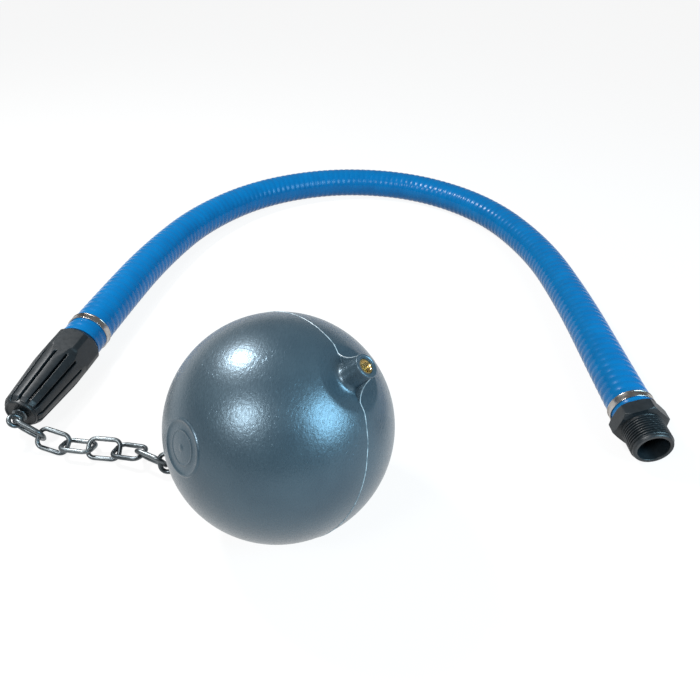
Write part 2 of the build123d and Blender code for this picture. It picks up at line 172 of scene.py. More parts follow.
# %% Line of the hose
curve = bpy.data.curves.new("hose_line", "CURVE")
curve.dimensions = "3D"
curve.resolution_u = 48
spline = curve.splines.new("NURBS")
spline.points.add(len(ROUTE) - 1)
for point, (x, y, z) in zip(spline.points, ROUTE):
    point.co = (HEAD.x + x * MM, HEAD.y + y * MM, z * MM, 1)
spline.order_u = 3
spline.use_endpoint_u = True
line_object = bpy.data.objects.new("hose_line", curve)
line_mesh = bpy.data.meshes.new_from_object(line_object)
line = [v.co.copy() for v in line_mesh.vertices]
bpy.data.objects.remove(line_object)
reach = [0.0]
for a, b in zip(line, line[1:]):
    reach.append(reach[-1] + (b - a).length)
HOSE_LENGTH = reach[-1]
print("points on the line", len(line), "length", round(HOSE_LENGTH, 4))

# One joins rings of points into a skin, and one makes an object of the skin. Sharp edges
# are marked by angle, so that flats stay crisp and curves stay smooth.


# %% Rings into a skin
def new_object(name, vertices, faces, sharp=35):
    mesh = bpy.data.meshes.new(name)
    mesh.from_pydata(vertices, [], faces)
    mesh.validate()
    mesh.shade_smooth()
    mesh.set_sharp_from_angle(angle=radians(sharp))
    made = bpy.data.objects.new(name, mesh)
    bpy.context.scene.collection.objects.link(made)
    return made


def loft(rings, closed_path=False, cap=False):
    count = len(rings[0])
    vertices = [v for ring in rings for v in ring]
    faces = []
    last = len(rings) if closed_path else len(rings) - 1
    for i in range(last):
        j = (i + 1) % len(rings)
        for k in range(count):
            m = (k + 1) % count
            faces.append((i * count + k, i * count + m, j * count + m, j * count + k))
    if cap:
        faces.append(tuple(range(count))[::-1])
        faces.append(tuple((len(rings) - 1) * count + k for k in range(count)))
    return vertices, faces


square = [(0, 0), (1, 0), (1, 1), (0, 1)]
print("faces of a capped box", len(loft([square, square], cap=True)[1]))

# %% [markdown]
# ### Turning and bending
# A lathe spins a profile about an axis, and a bender carries a round bar along a path.
# Blender's screw modifier and curve bevel could do the same, but rings made in code can
# change their radius from point to point, which ribs and welds need.


# %% Turned and carried shapes
def side_of(axis):
    helper = Vector((0, 0, 1)) if abs(axis.z) < 0.9 else Vector((1, 0, 0))
    return helper.cross(axis).normalized()


def steady(radius):
    # a radius that is the same everywhere
    return lambda *where: radius


def turned(name, base, axis, profile, steps=96, closed=False, sharp=35):
    # profile is a list of (radius, distance along the axis) in mm
    side = side_of(axis)
    other = axis.cross(side)
    rings = []
    for radius, along in profile:
        ring = []
        for k in range(steps):
            a = 2 * pi * k / steps
            out = side * cos(a) + other * sin(a)
            ring.append(base + axis * along * MM + out * max(radius, 0.001) * MM)
        rings.append(ring)
    return new_object(name, *loft(rings, closed_path=closed), sharp=sharp)


def carried(path, radius, steps, closed=False, first_side=None):
    # rings of points round a path, without twist; radius is asked for (point number, angle)
    n = len(path)
    rings = []
    side = first_side
    for i, point in enumerate(path):
        if closed:
            ahead = (path[(i + 1) % n] - path[i - 1]).normalized()
        else:
            ahead = (path[min(i + 1, n - 1)] - path[max(i - 1, 0)]).normalized()
        if side is None:
            side = side_of(ahead)
        side = (side - ahead * side.dot(ahead)).normalized()
        other = ahead.cross(side)
        ring = []
        for k in range(steps):
            a = 2 * pi * k / steps
            ring.append(point + (side * cos(a) + other * sin(a)) * radius(i, a) * MM)
        rings.append(ring)
    return rings


print("a side of the ball's axis", side_of(BALL_AXIS))

# %% [markdown]
# ## Materials
# A procedural material is a small network of nodes.  Each node has sockets, which hold a
# number or colour of their own until something is linked to them.  The first helper starts
# a material and adds nodes and links to it.


# %% The network helper
def fill(node, **values):
    # a socket's name is written with _ for its spaces
    for socket, value in values.items():
        node.inputs[socket.replace("_", " ")].default_value = value


class Network:
    def __init__(self, name):
        self.material = bpy.data.materials.new(name)
        self.material.use_nodes = True
        self.tree = self.material.node_tree
        self.shader = self.tree.nodes["Principled BSDF"]

    def node(self, kind, **values):
        made = self.tree.nodes.new(kind)
        fill(made, **values)
        return made

    def link(self, a, b):
        self.tree.links.new(a, b)


print("a network can", [skill for skill in vars(Network) if skill[0] != "_"])

# %% [markdown]
# ### What a finish can do
# A finish is a coordinate, some noise, and the shader.  The coordinate is the piece's own,
# so the noise stays on the piece when it moves.  Numbers that are the same all over sit on
# the shader itself, and noise changes the colour, the roughness and the bumps.


# %% The finish helper
class Finish(Network):
    def __init__(self, name, color, roughness, metallic=0.0, **sockets):
        super().__init__(name)
        fill(self.shader, Base_Color=(*color, 1), Roughness=roughness, Metallic=metallic, **sockets)
        self.place = self.node("ShaderNodeTexCoord").outputs["Object"]

    def noise(self, scale, detail=4.0, roughness=0.55, stretch=None, turn=(0, 0, 0)):
        made = self.node("ShaderNodeTexNoise", Scale=scale, Detail=detail, Roughness=roughness)
        source = self.place
        if stretch:
            mapping = self.node("ShaderNodeMapping", Scale=stretch, Rotation=turn)
            self.link(self.place, mapping.inputs["Vector"])
            source = mapping.outputs["Vector"]
        self.link(source, made.inputs["Vector"])
        return made.outputs["Fac"]

    def spread(self, value, low, high, to_low, to_high):
        made = self.node(
            "ShaderNodeMapRange", From_Min=low, From_Max=high, To_Min=to_low, To_Max=to_high
        )
        self.link(value, made.inputs["Value"])
        return made.outputs["Result"]

    def colors(self, value, *stops):
        # each of the two stops is a place on the ramp and a colour
        made = self.node("ShaderNodeValToRGB")
        for element, (at, color) in zip(made.color_ramp.elements, stops):
            element.position = at
            element.color = (*color, 1)
        self.link(value, made.inputs["Fac"])
        self.link(made.outputs["Color"], self.shader.inputs["Base Color"])

    def rough(self, value, low, high):
        self.link(self.spread(value, 0.3, 0.7, low, high), self.shader.inputs["Roughness"])

    def bump(self, value, depth, strength=1.0, after=None):
        made = self.node("ShaderNodeBump", Distance=depth, Strength=strength)
        self.link(value, made.inputs["Height"])
        if after is not None:
            self.link(after, made.inputs["Normal"])
        self.link(made.outputs["Normal"], self.shader.inputs["Normal"])
        return made.outputs["Normal"]


print("a finish can", [skill for skill in vars(Finish) if skill[0] != "_"])

# %% [markdown]
# ### Blue hose
# Flexible PVC is dyed through, and its deep blue has only a low gloss.  A harder thread of
# the same plastic winds along inside the wall, so the surface waves gently.  The shape of
# the ribs is modelled, and the material adds the faint mottling of soft plastic.

# %% Hose finish
blue = Finish("hose_blue_pvc", (0.0, 0.118, 0.31), 0.24, Specular_IOR_Level=0.2)
blue.colors(blue.noise(60, 5), (0.3, (0.0, 0.108, 0.29)), (0.7, (0.0, 0.132, 0.34)))
blue.rough(blue.noise(400, 3), 0.2, 0.3)
blue.bump(blue.noise(900, 3), 0.00008, 0.4)
print("finish", blue.material.name)

# %% [markdown]
# ### Black nylon
# The strainer and the adapter are moulded in glass-filled nylon.  It is never quite black:
# its satin skin has a faint blue green cast, and its sheen changes a little from place to
# place, where it has been handled.  Two noises of different size give the two changes.

# %% Nylon finish
nylon = Finish("black_nylon", (0.006, 0.008, 0.009), 0.36, Specular_IOR_Level=0.5)
nylon.colors(nylon.noise(90, 6), (0.3, (0.003, 0.006, 0.008)), (0.75, (0.009, 0.014, 0.018)))
nylon.rough(nylon.noise(250, 3), 0.36, 0.46)
nylon.bump(nylon.noise(1500, 3), 0.00006, 0.5)
print("finish", nylon.material.name)

# %% [markdown]
# ### Float plastic
# The ball is blow-moulded polyethylene in a slate blue that shines a little like pewter.
# Its shader is half metallic for that reason, and a rougher coat over it gives the wide
# glow round each highlight.  Three bumps lie one on another: the grain of the mould, rubs
# that all run one way, and a few long scratches.

# %% Float finish
slate = Finish(
    "slate_polyethylene", (0.045, 0.085, 0.115), 0.3, metallic=0.5, Coat_Weight=0.5, Coat_Roughness=0.42
)
slate.colors(slate.noise(35, 5), (0.3, (0.04, 0.076, 0.104)), (0.7, (0.056, 0.098, 0.128)))
rubs = slate.noise(1100, 4, 0.6, stretch=(1, 0.25, 0.6), turn=(0.4, 0.3, 0.7))
slate.rough(rubs, 0.22, 0.38)
grain = slate.bump(slate.noise(560, 2), 0.00026, 0.5)
grain = slate.bump(rubs, 0.00014, 0.6, after=grain)
streaks = slate.noise(620, 2, stretch=(1, 0.06, 1), turn=(0.2, 0.5, -0.8))
scratches = slate.spread(streaks, 0.62, 0.68, 0, 1)
slate.bump(scratches, 0.00005, 0.7, after=grain)
print("finish", slate.material.name)

# %% [markdown]
# ### Mould flash
# Where the halves of the ball's mould met, a hair of plastic was squeezed out and cut off.
# Cut plastic is paler than moulded skin, so the seam has a finish of its own.

# %% Flash finish
flash = Finish("cut_polyethylene", (0.3, 0.38, 0.42), 0.34)
flash.colors(flash.noise(240, 4), (0.35, (0.12, 0.17, 0.2)), (0.6, (0.42, 0.5, 0.54)))
flash.rough(flash.noise(500, 3), 0.26, 0.44)
flash.bump(flash.noise(1400, 3), 0.00008, 0.6)
print("finish", flash.material.name)

# %% [markdown]
# ### Chain wire and clamp strip
# The chain is stainless wire that has been tumbled until it is dull and grey, so its
# highlights are wide.  The clamps are rolled strip, brighter and a little warmer.  Both are
# fully metallic, so their base colour is the colour of what they reflect.

# %% Steel finishes
wire = Finish("stainless_wire", (0.34, 0.38, 0.4), 0.28, metallic=1.0)
wire.colors(wire.noise(60, 1), (0.35, (0.09, 0.105, 0.115)), (0.65, (0.2, 0.225, 0.235)))
wire.rough(wire.noise(120, 1), 0.34, 0.42)
wire.bump(wire.noise(180, 1), 0.00005, 0.3)

strip = Finish("stainless_strip", (0.34, 0.31, 0.28), 0.24, metallic=1.0)
strip.colors(strip.noise(45, 3), (0.4, (0.2, 0.17, 0.145)), (0.6, (0.5, 0.48, 0.46)))
strip.rough(strip.noise(300, 3), 0.16, 0.3)
strip.bump(strip.noise(900, 3), 0.00003, 0.4)
print("finishes", wire.material.name, strip.material.name)

# %% [markdown]
# ### Brass, rubber and acetal
# The inserts are turned brass, the seals are nitrile rubber, and the valve's disc is white
# acetal, which slides well in water.  They are small or hidden, so a little noise is enough
# to keep them from looking flat.

# %% Small finishes
brass = Finish("turned_brass", (0.75, 0.56, 0.22), 0.26, metallic=1.0)
brass.colors(brass.noise(300, 4), (0.35, (0.6, 0.42, 0.15)), (0.65, (0.86, 0.68, 0.32)))
brass.rough(brass.noise(600, 3), 0.18, 0.36)

rubber = Finish("nitrile_rubber", (0.015, 0.015, 0.015), 0.7)
rubber.rough(rubber.noise(500, 4), 0.6, 0.8)
rubber.bump(rubber.noise(1200, 3), 0.00005, 0.5)

acetal = Finish("white_acetal", (0.7, 0.7, 0.67), 0.4)
acetal.rough(acetal.noise(300, 3), 0.34, 0.48)
acetal.bump(acetal.noise(900, 3), 0.00004, 0.4)
print("finishes", brass.material.name, rubber.material.name, acetal.material.name)

# %% [markdown]
# ### Putting a finish on
# A piece of the model that keeps its own mesh only gets a new material.  A piece made here
# also says which body it rides on and which piece of the model it stands for, and that piece
# is hidden.


# %% Coat and dress
def coat(node, finish):
    made = frame["nodes"][node]
    for slot in made.material_slots:
        slot.material = finish.material
    made.data.shade_smooth()
    made.data.set_sharp_from_angle(angle=radians(30))


def dress(piece, finish, body, slot, *nodes):
    piece.data.materials.append(finish.material)
    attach(piece, body)
    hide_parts(*nodes)


print("pieces of the model", len(frame["nodes"]))

# %% [markdown]
# ## Hose
# The ribs are one long helix.  A screw modifier would need a straight axis, so each ring of
# points is set along the line instead, and its radius swells where the helix passes.  The
# power on the wave makes the crests broad and the valleys narrow, as on the real wall.

# %% Hose sizes
RIB_PITCH = 7.6
RIB_RISE = 0.42
CREST_POWER = 0.6
HOSE_R = 18.0
WALL = 3.0
RING_COUNT = 2200
HOSE_STEPS = 72


def on_line(distance):
    # the point of the hose's line that lies this far along it
    low, high = 0, len(reach) - 1
    while high - low > 1:
        mid = (low + high) // 2
        if reach[mid] <= distance:
            low = mid
        else:
            high = mid
    return line[low].lerp(line[high], (distance - reach[low]) / (reach[high] - reach[low]))


def rib_radius(i, turn):
    along = HOSE_LENGTH / MM * i / (RING_COUNT - 1)
    wave = 0.5 + 0.5 * cos(2 * pi * (along / RIB_PITCH + turn / (2 * pi)))
    return HOSE_R - RIB_RISE * (1 - wave**CREST_POWER)


print("turns of the rib", round(HOSE_LENGTH / MM / RIB_PITCH, 1))

# %% [markdown]
# ### The hose's wall
# The ribbed outside and the smooth bore are rings of the same number of points, so one loft
# closes them into a tube with a real wall.  The bore has no ribs to follow, so one ring in
# twenty is enough for it.

# %% Ribbed hose
path = [on_line(HOSE_LENGTH * i / (RING_COUNT - 1)) for i in range(RING_COUNT)]
hose_side = Vector((1, 0, 0))
outside = carried(path, rib_radius, HOSE_STEPS, first_side=hose_side)
bore = carried(path[::20] + [path[-1]], steady(HOSE_R - WALL), HOSE_STEPS, first_side=hose_side)
hose = new_object("ribbed_hose", *loft(outside + bore[::-1], closed_path=True), sharp=80)
dress(hose, blue, "strainer", "blue_hose", "suction_hose")
print("hose faces", len(hose.data.polygons))

# %% [markdown]
# ### Skins that follow two shapes
# A hexagon with turned ends is two shapes at once: the flats and the turned profile.  On a
# grid of points this is easy, because each point simply takes the smaller of the two radii.
# Easing the choice a little near the edge gives the small round that a mould leaves.


# %% Eased edges
def softly(a, b, ease=0.3):
    near = max(0.0, ease - abs(a - b)) / ease
    return min(a, b) - near * near * ease / 4


def limited(share):
    return min(1.0, max(0.0, share))


def flat_radius(turn, across_flats):
    # turn in degrees from a corner of the hexagon
    return across_flats / 2 / cos(radians(turn % 60 - 30))


def turned_corner(axis, corner, turn):
    a = radians(turn)
    return corner * cos(a) + axis.cross(corner) * sin(a)


def around(base, axis, corner, turn, radius, along):
    return base + axis * along * MM + turned_corner(axis, corner, turn) * radius * MM


print("an edge between equal radii of 10 mm", softly(10.0, 10.0))

# %% [markdown]
# ## Threaded adapter
# The hose ends in a moulded adapter: a tail that the hose is pushed over, a hexagon for a
# spanner, and a one inch pipe thread with an open mouth.  The thread is a helix, so its
# radius depends on the distance along and the turn together, as the hose's ribs do.

# %% Adapter sizes
HEX_FLATS = 39.0
HEX_LENGTH = 12.0
HEX_FACE_R = 20.3
HEX_CORNER_R = 22.5
HEX_EASE = 0.25
CHAMFER_WIDE = 2.2
CHAMFER_LONG = 1.4
THREAD_PITCH = 2.309
THREAD_CREST = 16.6
THREAD_ROOT = 15.25
THREAD_END = 33.0
FLANK_SLOPE = 2.15
ROOT_FLAT = 0.55
ADAPTER_TAIL_R = 14.6
ADAPTER_TAIL_LENGTH = 32.0
ADAPTER_BORE = 12.3
ADAPTER_TURN = radians(22)
adapter_level = Vector((-ADAPTER_AXIS.y, ADAPTER_AXIS.x, 0))
ADAPTER_CORNER = adapter_level * cos(ADAPTER_TURN) + Vector((0, 0, 1)) * sin(ADAPTER_TURN)


def hexagon_radius(turn, along):
    chamfer = HEX_FACE_R + CHAMFER_WIDE * min(along, HEX_LENGTH - along) / CHAMFER_LONG
    return softly(flat_radius(turn, HEX_FLATS), min(chamfer, HEX_CORNER_R), HEX_EASE)


def hexagon_face(turn, along):
    return softly(flat_radius(turn, HEX_FLATS), HEX_FACE_R - 0.2, HEX_EASE)


def thread_radius(turn, along):
    phase = (along / THREAD_PITCH - turn / 360) % 1.0
    slope = limited(FLANK_SLOPE * abs(2 * phase - 1) - ROOT_FLAT)
    begin = limited((along - HEX_LENGTH - 0.5) / 0.9)
    fade = limited((THREAD_END + 0.4 - along) / 1.3)
    return THREAD_ROOT + (THREAD_CREST - THREAD_ROOT) * slope * begin * fade


print("thread turns", round((THREAD_END - HEX_LENGTH) / THREAD_PITCH, 1))

# %% [markdown]
# ### The adapter's skin
# The skin is a stack of rings from the tail, over the hexagon and the thread, round the lip
# and back through the bore.  Each station pairs a distance with the function that gives its
# radius, so turned, flat and threaded stretches join in one mesh.

# %% Pipe adapter
THREAD_ROWS = 190
THREAD_FROM = HEX_LENGTH + 0.35
LIP = [
    (33.3, 15.75), (33.8, 15.8), (34.6, 15.5), (35.3, 15.1), (35.5, 14.85), (35.5, 12.7), (35.3, 12.42),
    (34.9, ADAPTER_BORE), (20.0, ADAPTER_BORE), (0.0, ADAPTER_BORE),
]
stations = [
    (-ADAPTER_TAIL_LENGTH, steady(ADAPTER_BORE)),
    (-ADAPTER_TAIL_LENGTH, steady(ADAPTER_TAIL_R)),
    (-0.02, steady(ADAPTER_TAIL_R)),
    (0.0, hexagon_face),
]
stations += [(HEX_LENGTH * i / 40, hexagon_radius) for i in range(41)]
stations += [(HEX_LENGTH + 0.02, steady(THREAD_ROOT + 0.5)), (HEX_LENGTH + 0.3, steady(THREAD_ROOT + 0.1))]
for i in range(1, THREAD_ROWS + 1):
    stations.append((THREAD_FROM + (THREAD_END - THREAD_FROM) * i / THREAD_ROWS, thread_radius))
stations += [(along, steady(radius)) for along, radius in LIP]

turns = [360 * k / 240 for k in range(240)]
adapter_rings = []
for along, size in stations:
    ring = []
    for turn in turns:
        ring.append(around(ADAPTER, ADAPTER_AXIS, ADAPTER_CORNER, turn, size(turn, along), along))
    adapter_rings.append(ring)
adapter = new_object("pipe_adapter", *loft(adapter_rings, closed_path=True), sharp=38)
dress(adapter, nylon, "strainer", "black_plastic", "thread_adapter")
print("adapter faces", len(adapter.data.polygons))

# %% [markdown]
# ## Hose clamps
# A one-ear clamp is a thin steel band whose edges are rolled so that they don't cut the hose.
# Pinching its ear draws it tight.  The band is turned from a section with a bead at each edge,
# and the ear is a strip bent over a gap and extruded across the band.  Both sections are the
# same on either side of their middle, so one half is written down and mirrored.  The bent
# strip is drawn as a line first, and then given its thickness.


# %% Clamp sections
def mirrored(half, middle=()):
    # half holds (height, offset) from one edge to the middle
    return half + list(middle) + [(height, -offset) for height, offset in half[::-1]]


def strip_outline(middle_line, thick):
    outer, inner = [], []
    for i, (x, y) in enumerate(middle_line):
        ax, ay = middle_line[max(i - 1, 0)]
        bx, by = middle_line[min(i + 1, len(middle_line) - 1)]
        size = hypot(bx - ax, by - ay)
        nx, ny = -(by - ay) / size, (bx - ax) / size
        outer.append((x + nx * thick / 2, y + ny * thick / 2))
        inner.append((x - nx * thick / 2, y - ny * thick / 2))
    return outer + inner[::-1]


BAND = mirrored([
    (18.05, -3.5), (18.62, -3.5), (18.86, -3.4), (18.95, -3.15),
    (18.93, -2.8), (18.78, -2.5), (18.5, -2.3), (18.46, -1.0),
])
EAR = mirrored([
    (18.75, -6.2), (18.9, -4.4), (19.05, -3.3), (19.9, -2.75), (20.7, -2.6), (21.2, -2.1), (21.35, -1.2),
], middle=[(21.1, 0.0)])
EAR_THICK = 0.75
EAR_OUTLINE = strip_outline(EAR, EAR_THICK)
print("points round the band and the ear", len(BAND), len(EAR_OUTLINE))

# %% [markdown]
# ### Band and ear
# The ear's outline is repeated four times across the band, and the outer two are drawn in a
# little, so that its edges catch the light as rolled edges do.

# %% Steel clamps
EAR_FOOT = 18.5
EAR_ROWS = ((-3.1, 0.96), (-2.9, 1.0), (2.9, 1.0), (3.1, 0.96))


def steel_clamp(name, node, base, axis, corner, ear_turn, at):
    middle = base + axis * at * MM
    band = turned(f"{name}_band", middle, axis, BAND, steps=144, closed=True, sharp=50)
    out = turned_corner(axis, corner, ear_turn)
    along = axis.cross(out)
    n = len(EAR_OUTLINE)
    vertices = []
    for width, narrow in EAR_ROWS:
        for x, y in EAR_OUTLINE:
            height = EAR_FOOT + (x - EAR_FOOT) * narrow
            vertices.append(middle + (out * height + along * y + axis * width) * MM)
    faces = [tuple(range(n)), tuple(range(3 * n, 4 * n))[::-1]]
    for row in range(3):
        for i in range(n):
            j = (i + 1) % n
            faces.append((row * n + j, row * n + i, (row + 1) * n + i, (row + 1) * n + j))
    ear = new_object(f"{name}_ear", vertices, faces, sharp=40)
    for piece in (band, ear):
        dress(piece, strip, "strainer", "clamp_steel", node)
    return [band, ear]


inlet_pieces = steel_clamp(
    "inlet_band", "inlet_clamp", HEAD, HEAD_AXIS, HEAD_CORNER, ear_turn=176, at=-18.6
)
outlet_pieces = steel_clamp(
    "outlet_band", "outlet_clamp", ADAPTER, ADAPTER_AXIS, ADAPTER_CORNER, ear_turn=-67, at=-9.0
)
print("clamp pieces", len(inlet_pieces) + len(outlet_pieces))

# %% [markdown]
# ### The hose's points and length
# Every fourth point of the hose's line is gathered in a list, with its last point, and the
# hose's length is printed.

[tuple(p) for p in path[::4] + [path[-1]]]
print("hose length", round(HOSE_LENGTH, 3))

# %% [markdown]
# ## Strainer
# The strainer is one nylon moulding: a six-sided head to grip, and a cone of ribs that lets
# water in and keeps leaves out.  Booleans would cut the slots, but they leave ragged shading,
# so the ribs are made one by one, each with its own chamfered edges, and the head's edge is
# drawn round the slots' ends.  One function gives the outer radius all over: the smallest of
# the flats, the chamfer, the shoulder that slopes down to the cone, and the nose.

# %% Strainer sizes
HEAD_ROUND = 21.15
HEAD_FLATS = 38.6
FACE_R = 17.2
FACE_SLOPE = 0.7
SHOULDER_FROM = 25.0
SHOULDER_SLOPE = 0.3
CONE_R = 20.35
CONE_SLOPE = 0.085
CONE_FROM = 28.7
CONE_TO = 85.7
NOSE_R = 15.5
NOSE_SLOPE = 3.0 / 5.4


def head_radius(turn, along):
    chamfer = FACE_R + FACE_SLOPE * along
    shoulder = HEAD_ROUND - SHOULDER_SLOPE * (along - SHOULDER_FROM)
    cone = CONE_R - CONE_SLOPE * (along - CONE_FROM)
    nose = NOSE_R - NOSE_SLOPE * (along - CONE_TO)
    turned_down = softly(max(shoulder, cone), nose)
    turned_grip = softly(softly(chamfer, HEAD_ROUND), turned_down)
    return softly(flat_radius(turn, HEAD_FLATS), turned_grip, 0.16)


def head_point(turn, radius, along):
    return around(HEAD, HEAD_AXIS, HEAD_CORNER, turn, radius, along)


print("radius where the cone starts and ends", head_radius(0, CONE_FROM), head_radius(0, CONE_TO))

# %% [markdown]
# ### Columns of the head
# Seen from outside, the head is a sheet that ends in a scalloped edge: a half circle round
# each slot's end and a plain stretch under each rib.  Each column below says where the sheet
# ends on the outside, and where the small chamfer into the slot ends.

# %% Head columns
SLOTS = 13
SLOT_HALF = 0.95
SLOT_EDGE = 0.5
SLOT_FROM = 33.7
FIRST_SLOT = 6.5
OUTER_EDGE_R = 20.2
INNER_EDGE_R = 19.9


def beside_slot(slot, lateral, radius):
    # the turn of a point that lies lateral mm from a slot's middle plane
    return FIRST_SLOT + slot * 360 / SLOTS + degrees(asin(lateral / radius))


columns = []
wide = SLOT_HALF + SLOT_EDGE
arc = [radians(-90 + 180 * k / 14) for k in range(15)]
for slot in range(SLOTS):
    for a in arc:
        columns.append((
            beside_slot(slot, wide * sin(a), OUTER_EDGE_R), SLOT_FROM - wide * cos(a),
            beside_slot(slot, SLOT_HALF * sin(a), INNER_EDGE_R), SLOT_FROM - SLOT_HALF * cos(a),
        ))
    first = beside_slot(slot, wide, OUTER_EDGE_R)
    last = beside_slot(slot + 1, -wide, OUTER_EDGE_R)
    for k in range(1, 40):
        turn = first + (last - first) * k / 40
        columns.append((turn, SLOT_FROM, turn, SLOT_FROM))
print("columns", len(columns))

# %% [markdown]
# ### The head's skin
# The skin starts inside the mouth that takes the hose's tail, comes over the grip and runs
# down every column.  There it turns in: over the chamfer, through the wall, and back up
# inside, round the seat of the valve.

# %% Strainer head
HEAD_ROWS = 62
RIB_DEEP = 5.5
MOUTH_R = 16.85
SEAT = [(12.0, 30.0), (9.6, 30.0), (9.6, 27.0), (15.2, 27.0), (15.2, 12.0)]

rings = [[head_point(turn, MOUTH_R, along) for turn, _, _, _ in columns] for along in (12.0, 0.0)]
rings.append([head_point(turn, head_radius(turn, 0.0) - 0.25, 0.0) for turn, _, _, _ in columns])
for i in range(HEAD_ROWS + 1):
    ring = []
    for turn, end_at, _, _ in columns:
        along = 0.2 + (end_at - 0.2) * i / HEAD_ROWS
        ring.append(head_point(turn, head_radius(turn, along), along))
    rings.append(ring)
chamfer_ring, deep_ring = [], []
for outer_turn, outer_end, turn, along in columns:
    drop = 0 if (outer_turn, outer_end) == (turn, along) else SLOT_EDGE
    chamfer_ring.append(head_point(turn, head_radius(turn, along) - drop, along))
    deep_ring.append(head_point(turn, head_radius(turn, along) - RIB_DEEP, along))
rings += [chamfer_ring, deep_ring]
for radius, along in SEAT:
    rings.append([head_point(turn, radius, along) for _, _, turn, _ in columns])
strainer_head = new_object("strainer_head", *loft(rings, closed_path=True), sharp=22)
dress(strainer_head, nylon, "strainer", "valve_plastic", "strainer_basket")
print("strainer head faces", len(strainer_head.data.polygons))

# %% [markdown]
# ### Ribs
# Between two slots lies one rib.  Its section has parallel walls, because a slot is cut by a
# blade of one width, and a small chamfer on each edge.  The section is carried down the cone
# and ends in a tip at the nose, where the slots run out.

# %% Section of a rib
RIB_END = 89.2
DEEPEST_R = 8.5
EASED_EDGE = 0.29 * SLOT_EDGE


def rib_section(slot, along, shrink=0.0):
    wall = SLOT_HALF + shrink
    edge = wall + SLOT_EDGE
    outer = head_radius(FIRST_SLOT + (slot + 0.5) * 360 / SLOTS, along)
    deep = max(outer - RIB_DEEP, DEEPEST_R)

    def edge_point(lateral, drop):
        # the near slot lies on the plus side, and the next one on the minus side
        turn = beside_slot(slot if lateral > 0 else slot + 1, lateral, outer)
        return turn, head_radius(turn, along) - drop - shrink

    first = beside_slot(slot, edge, outer)
    last = beside_slot(slot + 1, -edge, outer)
    points = [(beside_slot(slot, 0.2, deep), deep)]
    points.append(edge_point(wall, SLOT_EDGE))
    points.append(edge_point(wall + EASED_EDGE, EASED_EDGE))
    for k in range(33):
        turn = first + (last - first) * k / 32
        points.append((turn, head_radius(turn, along) - shrink))
    points.append(edge_point(-(wall + EASED_EDGE), EASED_EDGE))
    points.append(edge_point(-wall, SLOT_EDGE))
    points.append((beside_slot(slot + 1, -0.2, deep), deep))
    return [head_point(turn, radius, along) for turn, radius in points]


print("points round a rib", len(rib_section(0, CONE_FROM)))

# %% [markdown]
# ### All the ribs
# Each rib is lofted through a long row of sections, and two smaller ones round its tip.  The
# thirteen ribs are gathered in one mesh, because they are one moulding and share a finish.

# %% Strainer ribs
RIB_ROWS = 112
vertices, faces = [], []
rib_stations = [SLOT_FROM + (RIB_END - 0.5 - SLOT_FROM) * i / RIB_ROWS for i in range(RIB_ROWS + 1)]
for slot in range(SLOTS):
    sections = [rib_section(slot, along) for along in rib_stations]
    sections.append(rib_section(slot, RIB_END - 0.15, 0.15))
    sections.append(rib_section(slot, RIB_END, 0.45))
    more_vertices, more_faces = loft(sections, cap=True)
    start = len(vertices)
    vertices += more_vertices
    faces += [tuple(start + i for i in face) for face in more_faces]
ribs = new_object("strainer_ribs", vertices, faces, sharp=50)
dress(ribs, nylon, "strainer", "valve_plastic", "strainer_basket")
print("ribs", SLOTS, "faces", len(ribs.data.polygons))

# %% [markdown]
# ### Nose
# Inside the tips of the ribs sits the nose, a short cup with a rounded rim.  Its face is set
# back a little, and the screw eye's collar stands in the middle of it.  It is round all
# over, so one turned profile makes it.

# %% Strainer nose
NOSE_PROFILE = [
    (9.0, 84.5), (12.9, 84.6), (13.1, 88.2), (12.75, 90.0), (12.5, 90.75), (12.2, 91.0), (11.8, 91.1),
    (11.3, 91.05), (11.0, 90.8), (10.9, 90.3), (10.5, 90.05), (2.6, 90.0), (2.6, 87.0), (9.0, 87.0),
]
nose = turned("strainer_nose", HEAD, HEAD_AXIS, NOSE_PROFILE, steps=120, closed=True, sharp=40)
dress(nose, nylon, "strainer", "valve_plastic", "strainer_basket")
print("nose faces", len(nose.data.polygons))

# %% [markdown]
# ## Float ball
# The ball is blow-moulded in two halves, so a fine raised seam runs round it.  A round bare
# medallion is pressed into one side.  A UV sphere has its neatest rings at its poles, so one
# pole is put in the middle of the medallion.  The dish, its raised rim, a plain ring and the
# small mark of the mould's gate are then simply rings of other radii.

# %% Ball sizes
MEDALLION_AXIS = Vector((-0.60, -0.712, 0.36)).normalized()
MEDALLION_R = 15.6
DISH_DEPTH = 1.0
LAND_R = 20.0
LAND_REACH = sqrt(BALL_R**2 - LAND_R**2)
BOSS_REACH = 88.0
LOW_BOSS_REACH = 79.0


def raised(off, at, height, half_width):
    # a low ridge with a flat top, whose middle is at that distance
    return height * exp(-(((off - at) / half_width) ** 4))


def ball_radius(off):
    # off is the distance from the medallion's middle along the skin, in mm
    dish = DISH_DEPTH * (1 - (off / MEDALLION_R) ** 10) if off < MEDALLION_R else 0.0
    rim = raised(off, at=MEDALLION_R + 0.95, height=0.55, half_width=0.85)
    ring = raised(off, at=10.4, height=0.32, half_width=0.5)
    gate = raised(off, at=0.0, height=0.4, half_width=1.9)
    return BALL_R - dish + rim + ring + gate


print("lands from the ball's centre", round(LAND_REACH, 2), "dish radius", round(ball_radius(5.0), 2))

# %% [markdown]
# ### The ball's skin
# Rings lie a third of a millimetre apart over the medallion and much wider elsewhere, so the
# points go where the detail is.  At both ends of the ball's own axis the skin is held down
# to a plane just under the land that covers it.

# %% Ball skin
SKIN_STEPS = 256
FINE_STEP = 0.35
FINE_RINGS = 54
WIDE_RINGS = 170
LAND_COVER = 0.5

